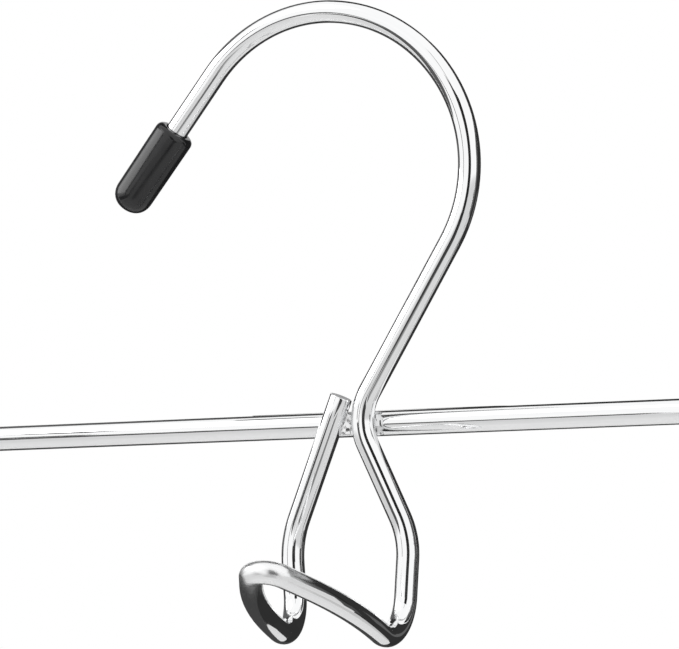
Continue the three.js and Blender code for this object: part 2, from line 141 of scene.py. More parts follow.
# Clips: heights from the bar's axis, offsets from the clip's middle plane to the middle of the plate
PLATE = 1 * MM
PLATE_EDGE = 0.22 * MM
PLATE_EDGE_SEGMENTS = 3
PLATE_SHARP_DEGREES = 60
PLATE_BEND = 4 * MM
OUTLINE_BEND = 3 * MM
EAR_RADIUS = 4.4 * MM
EAR_CORNER = 1.5 * MM
EAR_HOLE_RADIUS = 2.5 * MM
EAR_FOLD = 1 * MM
FRONT_EAR_SPAN = 22 * MM
REAR_EAR_SPAN = 19.4 * MM
WEB_OFFSET = 6.8 * MM
WEB_HALF_HEIGHT = 5 * MM
TAB_HEIGHT = 18 * MM
TAB_OFFSET = 11.4 * MM
TAB_WIDTH = 18 * MM
TAB_CORNER = 5 * MM
LIP_WIDTH = 28 * MM
LIP_OFFSET = 2 * MM
LIP_TOP = 26 * MM
LIP_BOTTOM = 34 * MM
LIP_CORNER = 2 * MM
FULL_WIDTH_ABOVE_LIP = 4 * MM
PAD_WALL = 1.2 * MM
PAD_SLACK = 0.15 * MM
PAD_FACE_GAP = 0.3 * MM
PAD_TOP = 26.6 * MM
PAD_CORNER = 3 * MM
PAD_EDGE = 1.1 * MM
PAD_SLOT_CORNER = 0.3 * MM
PAD_TOP_ROUND_SHARE = 0.8

# Pressed details of the jaws
TAB_RIB_HEIGHTS = (15.2 * MM, 12.8 * MM, 10.4 * MM)
TAB_RIB_HALF_LENGTH = 5.6 * MM
TAB_RIB_HALF_WIDTH = 0.8 * MM
TAB_RIB_DEPTH = 0.45 * MM
ARM_BEAD_TOP = 8.5 * MM
ARM_BEAD_BOTTOM = 22.5 * MM
ARM_BEAD_HALF_WIDTH = 2.6 * MM
ARM_BEAD_DEPTH = 0.7 * MM
PAD_GROOVES = 4
PAD_GROOVE_DEPTH = 0.45 * MM
PAD_GROOVES_FROM_TOP = 1.4 * MM
PAD_GROOVES_FROM_FOOT = 1.6 * MM

# Clip spring
SPRING_WIRE_RADIUS = 0.6 * MM
SPRING_END_ROUND = 0.6 * SPRING_WIRE_RADIUS
SPRING_RADIUS = 3.3 * MM
SPRING_PITCH = 1.8 * MM
SPRING_FULL_TURNS = 6
SPRING_LEG_HEIGHT = 14 * MM
SPRING_TAB_GAP = 0.3 * MM

# Mesh fineness
WIRE_SIDES = 64
ARC_STEP = math.radians(2.5)
ROUND_SIDES = 72
EDGE_STEPS = 4
WIRE_STEP = 4 * MM
STRAND_STEP = 0.5 * MM
WELD_ROWS = 20
WELD_STEPS = 12
WELD_END_STEPS = 5
CAP_DOME_STEPS = 20
JAW_COLUMNS = 36
TAB_ROW_STEP = 0.4 * MM
EAR_ROWS = 16
ARM_FIRST_ROW = 0.5 * MM
ARM_ROW_STEP = 0.6 * MM
PAD_ROW_STEP = 0.2 * MM
SPRING_SIDES = 16
SPRING_STEPS_PER_TURN = 40
SPRING_LEG_STEP = 1 * MM

# Noise values that count as dark and light, and depths of surface grain
NOISE_LOW = 0.3
NOISE_HIGH = 0.7
GRAIN_DEPTH = 0.05 * MM
STREAK_DEPTH = 0.006 * MM
BRUSH_DEPTH = 0.004 * MM

# Stage
FLOOR_DROP = 1.1
FLOOR_FADE_START = 5
FLOOR_RADIUS = 12
FLOOR_SIDES = 96
FILL_LIGHT = 0.75
KEY_PLACE = Vector((-0.9, -1.0, 1.3))
KEY_SIZE = (1.0, 1.0)
KEY_WATTS = 4
SOFTBOX_DEGREES = (-85, 30)
SOFTBOX_DISTANCE = 0.95
SOFTBOX_SIZE = (1.05, 0.5)
SOFTBOX_WATTS = 3.8
CARD_DISTANCE = 0.95
NEAR_CARD_DISTANCE = 0.15
NEAR_CARD_SEEN_FROM = Vector((18, 0, -40)) * MM
BOARD_FROM_HOOK_CENTRE = Vector((19, 0, -28)) * MM
BOARD_THICKNESS = Vector((0, 0, 1)) * MM

bar_low, bar_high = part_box("cross_bar")
BAR_RADIUS = (bar_high.z - bar_low.z) / 2
BAR_HALF_LENGTH = (bar_high.x - bar_low.x) / 2
BAR_Y = (bar_low.y + bar_high.y) / 2
BAR_Z = (bar_low.z + bar_high.z) / 2
HOOK_CENTRE = Vector((0, 0, WIRE_RADIUS - HOOK_RADIUS))
X_AXIS = Vector((1, 0, 0))


# Materials

def new_material(name):
    material = bpy.data.materials.new(name)
    material.use_nodes = True
    tree = material.node_tree
    return material, tree, tree.nodes["Principled BSDF"]


def object_noise(tree, scale, detail=3.0, stretch=(1, 1, 1)):
    """A noise texture in the piece's own coordinates, with its pattern stretched along chosen axes."""
    place = tree.nodes.new("ShaderNodeTexCoord")
    mapping = tree.nodes.new("ShaderNodeMapping")
    mapping.inputs["Scale"].default_value = stretch
    texture = tree.nodes.new("ShaderNodeTexNoise")
    texture.inputs["Scale"].default_value = scale
    texture.inputs["Detail"].default_value = detail
    tree.links.new(place.outputs["Object"], mapping.inputs["Vector"])
    tree.links.new(mapping.outputs["Vector"], texture.inputs["Vector"])
    return texture.outputs["Fac"]


def ramp(tree, factor, low, high):
    """Maps a noise value to a range of numbers."""
    node = tree.nodes.new("ShaderNodeMapRange")
    node.inputs["From Min"].default_value = NOISE_LOW
    node.inputs["From Max"].default_value = NOISE_HIGH
    node.inputs["To Min"].default_value = low
    node.inputs["To Max"].default_value = high
    tree.links.new(factor, node.inputs["Value"])
    return node.outputs["Result"]


def colour_ramp(tree, factor, low, high):
    """Maps a noise value to colours between two ends."""
    node = tree.nodes.new("ShaderNodeValToRGB")
    dark, light = node.color_ramp.elements
    dark.position = NOISE_LOW
    dark.color = (*low, 1)
    light.position = NOISE_HIGH
    light.color = (*high, 1)
    tree.links.new(factor, node.inputs["Fac"])
    return node.outputs["Color"]


def add_bump(tree, shader, height, strength, distance):
    bump = tree.nodes.new("ShaderNodeBump")
    bump.inputs["Strength"].default_value = strength
    bump.inputs["Distance"].default_value = distance
    tree.links.new(height, bump.inputs["Height"])
    tree.links.new(bump.outputs["Normal"], shader.inputs["Normal"])


def metal(name, low, high, roughness, grain_scale, bump_strength):
    """Plated or bare metal: faint clouding of its colour and shine over fine grain."""
    material, tree, shader = new_material(name)
    shader.inputs["Metallic"].default_value = 1
    cloud = object_noise(tree, 120)
    tree.links.new(colour_ramp(tree, cloud, low, high), shader.inputs["Base Color"])
    tree.links.new(ramp(tree, object_noise(tree, 420), *roughness), shader.inputs["Roughness"])
    add_bump(tree, shader, object_noise(tree, grain_scale), bump_strength, GRAIN_DEPTH)
    return material


def drawn_chrome():
    """Chrome on drawn wire: long faint streaks along the wire in its colour and surface, over a faintly
    clouded shine.
    """
    material, tree, shader = new_material("drawn_chrome")
    shader.inputs["Metallic"].default_value = 1
    place = tree.nodes.new("ShaderNodeAttribute")
    place.attribute_name = "drawn"
    streaks = tree.nodes.new("ShaderNodeTexNoise")
    streaks.inputs["Scale"].default_value = 2600
    streaks.inputs["Detail"].default_value = 2
    tree.links.new(place.outputs["Vector"], streaks.inputs["Vector"])
    streak = streaks.outputs["Fac"]
    colour = colour_ramp(tree, streak, (0.93, 0.935, 0.94), (0.97, 0.972, 0.975))
    tree.links.new(colour, shader.inputs["Base Color"])
    polish = ramp(tree, object_noise(tree, 420), 0.03, 0.06)
    tree.links.new(worn_roughness(tree, polish), shader.inputs["Roughness"])
    add_bump(tree, shader, streak, 0.5, STREAK_DEPTH)
    return material


def worn_roughness(tree, polish):
    """Dulls the tongue's tip, where the next hanger's hook rubs."""
    place = tree.nodes.new("ShaderNodeTexCoord")
    from_tip = tree.nodes.new("ShaderNodeVectorMath")
    from_tip.operation = "DISTANCE"
    from_tip.inputs[1].default_value = tongue_tip()
    tree.links.new(place.outputs["Object"], from_tip.inputs[0])
    wear = tree.nodes.new("ShaderNodeMapRange")
    wear.interpolation_type = "SMOOTHSTEP"
    wear.inputs["From Min"].default_value = WEAR_CORE
    wear.inputs["From Max"].default_value = WEAR_REACH
    wear.inputs["To Min"].default_value = WEAR_ROUGHNESS
    wear.inputs["To Max"].default_value = 0
    tree.links.new(from_tip.outputs["Value"], wear.inputs["Value"])
    total = tree.nodes.new("ShaderNodeMath")
    total.operation = "ADD"
    tree.links.new(polish, total.inputs[0])
    tree.links.new(wear.outputs["Result"], total.inputs[1])
    return total.outputs["Value"]


def tongue_tip():
    return Vector((LOOP_CENTRE_X, -TONGUE_APEX_FORWARD, BAR_Z - TONGUE_APEX_BELOW_BAR))


def brushed_plate():
    """Plated pressed steel: satin brush marks along the bar over a faintly clouded shine."""
    material, tree, shader = new_material("plated_steel")
    shader.inputs["Metallic"].default_value = 0.7
    marks = object_noise(tree, 2600, 2, (0.03, 1, 1))
    colour = colour_ramp(tree, marks, (0.7, 0.705, 0.71), (0.83, 0.833, 0.836))
    tree.links.new(colour, shader.inputs["Base Color"])
    tree.links.new(ramp(tree, object_noise(tree, 150), 0.2, 0.32), shader.inputs["Roughness"])
    add_bump(tree, shader, marks, 0.2, BRUSH_DEPTH)
    return material


def vinyl_material():
    """Black dipped vinyl: satin, with a fine pebble and slightly greyer patches."""
    material, tree, shader = new_material("black_vinyl")
    colour = colour_ramp(tree, object_noise(tree, 260), (0.01, 0.01, 0.011), (0.017, 0.017, 0.018))
    tree.links.new(colour, shader.inputs["Base Color"])
    tree.links.new(ramp(tree, object_noise(tree, 900), 0.13, 0.2), shader.inputs["Roughness"])
    add_bump(tree, shader, object_noise(tree, 700), 0.1, GRAIN_DEPTH)
    return material


DRAWN_CHROME = drawn_chrome()
PLATED_STEEL = brushed_plate()
WELD = metal("plated_weld", (0.74, 0.745, 0.75), (0.92, 0.922, 0.925), (0.07, 0.2), 1400, 0.25)
SHEARED_STEEL = metal("sheared_steel", (0.2, 0.2, 0.21), (0.4, 0.4, 0.41), (0.25, 0.4), 2500, 0.3)
SPRING_STEEL = metal("spring_steel", (0.55, 0.555, 0.56), (0.7, 0.7, 0.71), (0.16, 0.26), 1500, 0.1)
VINYL = vinyl_material()


# Shape tools

def bent_path(corners, arc_step=ARC_STEP):
    """Points through (place, bend radius) corners, with each inner corner rounded to its bend."""
    points = [corners[0][0]]
    for (before, _), (at, bend), (after, _) in zip(corners, corners[1:], corners[2:]):
        back = (before - at).normalized()
        onward = (after - at).normalized()
        half_angle = back.angle(onward) / 2
        start = at + back * (bend / math.tan(half_angle))
        centre = at + (back + onward).normalized() * (bend / math.sin(half_angle))
        sweep = math.pi - 2 * half_angle
        points += arc_points(centre, (start - centre).normalized(), -back, bend, sweep, arc_step)
    return points + [corners[-1][0]]


def arc_points(centre, outward, forward, radius, sweep, arc_step=ARC_STEP):
    steps = max(2, math.ceil(sweep / arc_step))
    angles = [sweep * i / steps for i in range(steps + 1)]
    return [centre + radius * (outward * math.cos(a) + forward * math.sin(a)) for a in angles]


def with_steps(points, longest):
    """The same polyline with its long runs divided evenly."""
    fine = [points[0]]
    for start, end in zip(points, points[1:]):
        steps = max(1, math.ceil((end - start).length / longest))
        fine += [start.lerp(end, i / steps) for i in range(1, steps + 1)]
    return fine


def directions_along(points):
    ahead = points[1:] + points[-1:]
    behind = points[:1] + points[:-1]
    return [(a - b).normalized() for a, b in zip(ahead, behind)]


def ring_faces(rings, sides):
    """Quads between neighbouring rings of equally many points."""
    faces = []
    for first in range(0, (rings - 1) * sides, sides):
        for k in range(sides):
            after = (k + 1) % sides
            faces.append((first + k, first + after, first + sides + after, first + sides + k))
    return faces


def rounded_end(edge):
    """How far in from a cut end, and how much thinner, the rings of its rounded edge are."""
    turns = [math.pi / 2 * i / EDGE_STEPS for i in range(EDGE_STEPS + 1)]
    return [(edge * (1 - math.cos(t)), edge * (1 - math.sin(t))) for t in turns]


def tube(points, radius, sides, edge):
    """A round wire along points with rounded cut ends, and where each of its points lies in the streaks."""
    tangents = directions_along(points)
    across = tangents[0].orthogonal().normalized()
    axes = []
    for tangent in tangents:
        across = (across - tangent * across.dot(tangent)).normalized()
        axes.append((across.copy(), tangent.cross(across)))
    end = rounded_end(edge)
    rings = [(points[0] + tangents[0] * inward, axes[0], radius - less) for inward, less in end]
    rings += [(point, axis, radius) for point, axis in zip(points[1:-1], axes[1:-1])]
    rings += [(points[-1] - tangents[-1] * inward, axes[-1], radius - less) for inward, less in end[::-1]]
    angles = [2 * math.pi * k / sides for k in range(sides)]
    vertices, places = [], []
    travelled = 0
    for i, (centre, (u, v), size) in enumerate(rings):
        travelled += (centre - rings[i - 1][0]).length if i else 0
        for a in angles:
            vertices.append(centre + size * (u * math.cos(a) + v * math.sin(a)))
            places.append((size * math.cos(a), size * math.sin(a), travelled / STREAK_LENGTH))
    last = len(vertices) - sides
    faces = ring_faces(len(rings), sides)
    faces += [tuple(range(sides - 1, -1, -1)), tuple(range(last, last + sides))]
    return vertices, faces, places


def set_streak_places(obj, places):
    values = [part for place in places for part in place]
    obj.data.attributes.new("drawn", "FLOAT_VECTOR", "POINT").data.foreach_set("vector", values)


def lathe(profile, start, direction, sides=ROUND_SIDES):
    """Turns (radius, distance) pairs about a line; a radius of zero at either end closes the shape."""
    u = direction.orthogonal().normalized()
    v = direction.cross(u)
    vertices, rings = [], []
    for radius, along in profile:
        centre = start + direction * along
        if radius == 0:
            rings.append([len(vertices)] * sides)
            vertices.append(centre)
            continue
        rings.append(range(len(vertices), len(vertices) + sides))
        angles = [2 * math.pi * k / sides for k in range(sides)]
        vertices += [centre + radius * (u * math.cos(a) + v * math.sin(a)) for a in angles]
    faces = []
    for low, high in zip(rings, rings[1:]):
        for k in range(sides):
            after = (k + 1) % sides
            corners = dict.fromkeys((low[k], low[after], high[after], high[k]))
            faces.append(tuple(corners))
    return vertices, faces


def quarter_round(radius_at, along_at, size, from_angle, to_angle, steps=8):
    """Profile points on a round edge, with angles from straight out towards the far end."""
    angles = [from_angle + (to_angle - from_angle) * i / steps for i in range(steps + 1)]
    return [(radius_at + size * math.cos(a), along_at + size * math.sin(a)) for a in angles]


def make_object(name, vertices, faces, material, sharp_angle=40):
    mesh = bpy.data.meshes.new(name)
    mesh.from_pydata([tuple(v) for v in vertices], [], faces)
    tidy = bmesh.new()
    tidy.from_mesh(mesh)
    bmesh.ops.recalc_face_normals(tidy, faces=tidy.faces)
    tidy.to_mesh(mesh)
    tidy.free()
    mesh.shade_smooth()
    mesh.set_sharp_from_angle(angle=math.radians(sharp_angle))
    mesh.materials.append(material)
    obj = bpy.data.objects.new(name, mesh)
    bpy.context.scene.collection.objects.link(obj)
    return obj


def stands_for(obj, node, body):
    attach(obj, body)
    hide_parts(node)
    return obj


# Hook wire, bar, welds and caps

def hook_wire_points():
    """Middle line of the bent wire from the tip inside its cap to the cut end beside the stem."""
    tip_outward = Vector((math.cos(HOOK_TIP_ANGLE), 0, math.sin(HOOK_TIP_ANGLE)))
    tip_forward = Vector((math.sin(HOOK_TIP_ANGLE), 0, -math.cos(HOOK_TIP_ANGLE)))
    tip_start = HOOK_CENTRE + tip_outward * HOOK_RADIUS
    stem_corner = Vector((STEM_CORNER_X, 0, BAR_Z + STEM_CORNER_ABOVE_BAR))
    to_corner = stem_corner - HOOK_CENTRE
    stem_angle = math.atan2(to_corner.z, to_corner.x) + math.acos(HOOK_RADIUS / to_corner.length)
    hook = arc_points(HOOK_CENTRE, tip_outward, tip_forward, HOOK_RADIUS, HOOK_TIP_ANGLE - stem_angle)

    apex = tongue_tip()

    def leg(side, base_lift):
        elbow = Vector((LOOP_CENTRE_X + side * ELBOW_HALF_WIDTH, ELBOW_BACK, BAR_Z - ELBOW_BELOW_BAR))
        base_z = BAR_Z - BASE_BELOW_BAR + base_lift
        base = Vector((LOOP_CENTRE_X + side * BASE_HALF_WIDTH, -BASE_FORWARD, base_z))
        bow = base.lerp(apex, TONGUE_BOW_SHARE)
        bow.x = LOOP_CENTRE_X + side * TONGUE_BOW_HALF_WIDTH
        return [(elbow, ELBOW_BEND), (base, BASE_BEND), (bow, TONGUE_BOW_BEND)]

    up_stem = (hook[-1] - stem_corner).normalized()
    stem_at_end = stem_corner + up_stem * ((FREE_END_ABOVE_BAR - STEM_CORNER_ABOVE_BAR) / up_stem.z)
    free_end = stem_at_end - X_AXIS * ((2 * WIRE_RADIUS + FREE_END_GAP) / up_stem.z)
    bent = bent_path([
        (hook[-1], 0),
        (stem_corner, STEM_BEND),
        *leg(1, 0),
        (apex, TONGUE_APEX_BEND),
        *leg(-1, BASE_LEFT_LIFT)[::-1],
        (free_end, 0),
    ])
    return [tip_start - tip_forward * HOOK_TIP_RUN, *hook, *bent[1:]]


def make_hook_wire():
    """The bent wire, with its free end sheared a little high at the front and left bare there."""
    points = with_steps(hook_wire_points(), WIRE_STEP)
    vertices, faces, places = tube(points, WIRE_RADIUS, WIRE_SIDES, CUT_EDGE)
    end_run = (points[-1] - points[-2]).normalized()
    for i in range(len(vertices) - WIRE_SIDES * (EDGE_STEPS + 1), len(vertices)):
        vertices[i] = vertices[i] + end_run * (vertices[i].y - points[-1].y) * SHEAR_SLANT
    obj = make_object("hook_wire_chrome", vertices, faces, DRAWN_CHROME)
    obj.data.materials.append(SHEARED_STEEL)
    obj.data.polygons[len(faces) - 1].material_index = 1
    set_streak_places(obj, places)
    return stands_for(obj, "hook_wire", "hanger_frame")


def cap_profile(bore, bore_depth, length, wall, taper):
    """Blind bore, round lip at the mouth, slightly tapered side and a round closed end."""
    mouth = bore + wall
    end = mouth - taper / 2
    lip = quarter_round(mouth - CAP_LIP, CAP_LIP, CAP_LIP, -math.pi / 2, 0)
    turns = [math.pi / 2 * i / CAP_DOME_STEPS for i in range(CAP_DOME_STEPS)]
    dome = [(end * math.cos(t) ** CAP_END_POWER, length - end + end * math.sin(t) ** CAP_END_POWER)
            for t in turns]
    return [(0, bore_depth), (bore, bore_depth), (bore, 0), *lip, *dome, (0, length)]


def make_hook_cap():
    points = hook_wire_points()
    outward = (points[0] - points[1]).normalized()
    bore_depth = HOOK_TIP_RUN - HOOK_CAP_START
    profile = cap_profile(WIRE_RADIUS + CAP_SLACK, bore_depth + CAP_SLACK, HOOK_CAP_LENGTH, HOOK_CAP_WALL,
                          HOOK_CAP_TAPER)
    vertices, faces = lathe(profile, points[0] - outward * bore_depth, outward)
    obj = make_object("hook_tip_vinyl", vertices, faces, VINYL)
    return stands_for(obj, "hook_tip", "hanger_frame")


def make_bar():
    length = 2 * BAR_HALF_LENGTH
    edge = CUT_EDGE
    near = quarter_round(BAR_RADIUS - edge, edge, edge, -math.pi / 2, 0, EDGE_STEPS)
    far = quarter_round(BAR_RADIUS - edge, length - edge, edge, 0, math.pi / 2, EDGE_STEPS)
    profile = [(0, 0), *near, *far, (0, length)]
    vertices, faces = lathe(profile, Vector((-BAR_HALF_LENGTH, BAR_Y, BAR_Z)), X_AXIS)
    obj = make_object("cross_bar_chrome", vertices, faces, DRAWN_CHROME)
    set_streak_places(obj, [(v.y - BAR_Y, v.z - BAR_Z, v.x / STREAK_LENGTH) for v in vertices])
    return stands_for(obj, "cross_bar", "hanger_frame")


def make_bar_cap(name, side):
    bore_depth = BAR_CAP_LENGTH - BAR_CAP_END_WALL
    profile = cap_profile(BAR_RADIUS + CAP_SLACK, bore_depth + CAP_SLACK, BAR_CAP_LENGTH, BAR_CAP_WALL,
                          BAR_CAP_TAPER)
    mouth = Vector((side * (BAR_HALF_LENGTH - bore_depth), BAR_Y, BAR_Z))
    vertices, faces = lathe(profile, mouth, X_AXIS * side)
    obj = make_object(f"{name}_vinyl", vertices, faces, VINYL)
    return stands_for(obj, name, "hanger_frame")


def strands_at_bar():
    """X of the stem's strand and of the free end's strand as functions of height near the bar."""
    points = with_steps(hook_wire_points(), STRAND_STEP)
    apex = min(range(len(points)), key=lambda i: points[i].y)

    def strand(run):
        near = sorted((p.z, p.x) for p in run if abs(p.z - BAR_Z) < STRAND_LOOK)
        heights = [z for z, _ in near]
        places = [x for _, x in near]
        return lambda z: float(np.interp(z, heights, places))

    return strand(points[:apex]), strand(points[apex:])


def bar_front(z):
    """Y of the bar's front at a height."""
    return BAR_Y - math.sqrt(BAR_RADIUS ** 2 - (z - BAR_Z) ** 2)


def weld_wobble(z, place):
    return WELD_WOBBLE * noise.noise(Vector((place * WELD_WOBBLE_SPREAD, 0, z)) / MM)


def stem_weld_section(z):
    """Round the groove right of the stem: a hollow fillet in front, closed inside the wire and the bar."""
    x = strands_at_bar()[0](z)
    front = bar_front(z)
    round_size = WELD_FILLET + 2 * weld_wobble(z, 1)
    ball_x = x + math.sqrt((WIRE_RADIUS + round_size) ** 2 - (front - round_size) ** 2)
    ball_y = front - round_size
    to_wire = math.atan2(-ball_y, x - ball_x) % (2 * math.pi)
    turns = [to_wire + (math.pi / 2 - to_wire) * i / WELD_STEPS for i in range(WELD_STEPS + 1)]
    ball = Vector((ball_x, ball_y, z))
    fillet = [ball + round_size * Vector((math.cos(t), math.sin(t), 0)) for t in turns]
    behind = front + WELD_SINK
    in_wire = x + WELD_SINK
    inside = [(ball_x, behind), (in_wire, behind), (in_wire, fillet[0].y)]
    return fillet + [Vector((*place, z)) for place in inside]


def middle_weld_section(z):
    """Between the strands: a slightly hollow front, closed inside both wires and the bar."""
    stem_at, end_at = strands_at_bar()
    left = end_at(z) + WELD_BURIED_AT
    right = stem_at(z) - WELD_BURIED_AT
    shares = [i / WELD_STEPS for i in range(WELD_STEPS + 1)]
    face = []
    for share in shares:
        hollow = WELD_HOLLOW * (1 - (2 * share - 1) ** 2)
        y = WELD_FACE_BACK + hollow + weld_wobble(z, 3 * share)
        face.append(Vector((left + (right - left) * share, y, z)))
    behind = bar_front(z) + WELD_SINK
    return [*face, *[Vector((p.x, behind, z)) for p in face[::-1]]]


def make_weld(node, section_at):
    """Weld metal lofted up the bar's front, drawing together at its rounded top and foot."""
    reach = BAR_RADIUS * WELD_REACH
    heights = [BAR_Z + reach * (2 * i / WELD_ROWS - 1) for i in range(WELD_ROWS + 1)]
    turns = [math.pi / 2 * i / WELD_END_STEPS for i in range(1, WELD_END_STEPS)]
    sections = [section_at(z) for z in heights]

    def drawn_in(section, way):
        middle = sum(section, Vector()) / len(section)
        rise = Vector((0, 0, way * WELD_END_ROUND))
        return [[middle.lerp(p, math.cos(t)) + rise * math.sin(t) for p in section] for t in turns]

    loops = [*drawn_in(sections[0], -1)[::-1], *sections, *drawn_in(sections[-1], 1)]
    sides = len(sections[0])
    last = (len(loops) - 1) * sides
    faces = [*ring_faces(len(loops), sides), tuple(range(sides)), tuple(range(last, last + sides))]
    obj = make_object(f"{node}_bead", [p for loop in loops for p in loop], faces, WELD)
    return stands_for(obj, node, "hanger_frame")


# Clips

def swell(distance, half_width):
    """A smooth bump: 1 in the middle and 0 from half_width on."""
    share = min(1, abs(distance) / half_width)
    return math.cos(math.pi / 2 * share) ** 2


def span_swell(value, low, high, ease):
    """1 between two values, easing to 0 outside them."""
    outside = max(low - value, value - high, 0)
    return swell(outside, ease)


def press_depth(x, z):
    """How far the jaw's plate is pressed outward: grip ribs on the tab and a stiffening bead on the arm."""
    rib_length = span_swell(abs(x), 0, TAB_RIB_HALF_LENGTH, TAB_RIB_HALF_WIDTH)
    ribs = sum(swell(z - height, TAB_RIB_HALF_WIDTH) for height in TAB_RIB_HEIGHTS)
    bead_length = span_swell(-z, ARM_BEAD_TOP, ARM_BEAD_BOTTOM, ARM_BEAD_HALF_WIDTH)
    bead = swell(x, ARM_BEAD_HALF_WIDTH)
    return TAB_RIB_DEPTH * rib_length * ribs + ARM_BEAD_DEPTH * bead_length * bead


def plane_corners(corners):
    return [(Vector((u, 0, z)), bend) for u, z, bend in corners]


def height_table(corners):
    """A function of height from a rounded line whose height falls all along it."""
    points = bent_path(plane_corners(corners))[::-1]
    heights = [p.z for p in points]
    values = [p.x for p in points]
    return lambda z: float(np.interp(z, heights, values))


def jaw_heights():
    """Heights of the jaw's rows of points, closer at the rounded corners, with the ear's rows apart."""
    tab_end = TAB_HEIGHT - PLATE / 2
    corner = [tab_end - TAB_CORNER * (1 - math.cos(math.radians(a))) for a in range(0, 90, 6)]
    tab = list(np.arange(tab_end - TAB_CORNER, EAR_RADIUS + TAB_ROW_STEP / 2, -TAB_ROW_STEP))
    ear = [EAR_RADIUS * (1 - 2 * i / EAR_ROWS) for i in range(EAR_ROWS + 1)]
    arm = list(np.arange(-EAR_RADIUS - ARM_FIRST_ROW, LIP_CORNER - LIP_BOTTOM, -ARM_ROW_STEP))
    foot = [LIP_CORNER * (1 - math.sin(math.radians(a))) - LIP_BOTTOM for a in range(0, 91, 10)]
    return [*corner, *tab], ear, [*arm, *foot]


def jaw_sheet(side, ear_span):
    """Middle surface of a pressed jaw: a bent strip with two ears folded back to ride on the bar."""
    offset_at = height_table([
        (TAB_OFFSET, TAB_HEIGHT, 0),
        (WEB_OFFSET, WEB_HALF_HEIGHT, PLATE_BEND),
        (WEB_OFFSET, -WEB_HALF_HEIGHT, PLATE_BEND),
        (LIP_OFFSET, -LIP_TOP, PLATE_BEND),
        (LIP_OFFSET, -LIP_BOTTOM, 0),
    ])
    tab_end = TAB_HEIGHT - PLATE / 2
    half_width_at = height_table([
        (0, tab_end, 0),
        (TAB_WIDTH / 2, tab_end, TAB_CORNER),
        (TAB_WIDTH / 2, WEB_HALF_HEIGHT + OUTLINE_BEND, OUTLINE_BEND),
        (ear_span / 2, WEB_HALF_HEIGHT, EAR_CORNER),
        (ear_span / 2, -WEB_HALF_HEIGHT, OUTLINE_BEND),
        (LIP_WIDTH / 2, FULL_WIDTH_ABOVE_LIP - LIP_TOP, OUTLINE_BEND),
        (LIP_WIDTH / 2, -LIP_BOTTOM, LIP_CORNER),
        (0, -LIP_BOTTOM, 0),
    ])
    above, ear, below = jaw_heights()
    heights = [*above, *ear, *below]
    first_ear = len(above)
    last_ear = first_ear + len(ear) - 1
    margin = PLATE / 2 + EAR_FOLD
    inner = [2 * i / JAW_COLUMNS - 1 for i in range(JAW_COLUMNS + 1)]
    edge_steps = 3

    vertices, faces = [], []
    for z in heights:
        half_width = half_width_at(z)
        rim = [half_width - margin * (1 - i / edge_steps) for i in range(1, edge_steps + 1)]
        row = [-x for x in rim[::-1]] + [(half_width - margin) * f for f in inner] + rim
        vertices += [Vector((x, side * (offset_at(z) + press_depth(x, z)), z)) for x in row]
    columns = len(inner) + 2 * edge_steps
    for r in range(len(heights) - 1):
        in_ear = first_ear <= r < last_ear
        skipped = edge_steps if in_ear else 0
        for c in range(skipped, columns - 1 - skipped):
            first = r * columns + c
            faces.append((first, first + 1, first + columns + 1, first + columns))
    for edge_column, x_side in ((edge_steps, -1), (columns - 1 - edge_steps, 1)):
        web_row = [r * columns + edge_column for r in range(first_ear, last_ear + 1)]
        add_ear(vertices, faces, web_row, ear, side, x_side, ear_span)
    return vertices, faces


def add_ear(vertices, faces, web_row, heights, side, x_side, ear_span):
    """Folds an ear back from the web's edge and cuts the bar's hole in it."""
    ear_x = x_side * (ear_span / 2 - PLATE / 2)
    fold_steps = 5
    previous = web_row
    for i in range(1, fold_steps + 1):
        angle = math.pi / 2 * i / fold_steps
        x = ear_x - x_side * EAR_FOLD * (1 - math.sin(angle))
        y = side * (WEB_OFFSET - EAR_FOLD * (1 - math.cos(angle)))
        current = list(range(len(vertices), len(vertices) + len(heights)))
        vertices += [Vector((x, y, z)) for z in heights]
        faces += zip(previous, previous[1:], current[1:], current)
        previous = current

    web_side = WEB_OFFSET - EAR_FOLD
    side_steps = 6
    round_steps = 28
    lower = [(web_side * (1 - i / side_steps), -EAR_RADIUS) for i in range(1, side_steps)]
    turned = [-math.pi / 2 - math.pi * i / round_steps for i in range(round_steps + 1)]
    nose = [(EAR_RADIUS * math.cos(a), EAR_RADIUS * math.sin(a)) for a in turned]
    upper = [(o, -z) for o, z in lower[::-1]]
    rim = list(range(len(vertices), len(vertices) + len(lower) + len(nose) + len(upper)))
    outline = [*[(web_side, z) for z in heights], *lower, *nose, *upper]
    vertices += [Vector((ear_x, side * o, z)) for o, z in [*lower, *nose, *upper]]
    outer = [*previous, *rim]
    rings = 3
    for ring in range(1, rings + 1):
        share = ring / rings
        current = list(range(len(vertices), len(vertices) + len(outline)))
        for o, z in outline:
            angle = math.atan2(z, o)
            hole_o = EAR_HOLE_RADIUS * math.cos(angle)
            hole_z = EAR_HOLE_RADIUS * math.sin(angle)
            vertices.append(Vector((ear_x, side * (o + (hole_o - o) * share), z + (hole_z - z) * share)))
        faces += zip(outer, outer[1:] + outer[:1], current[1:] + current[:1], current)
        outer = current


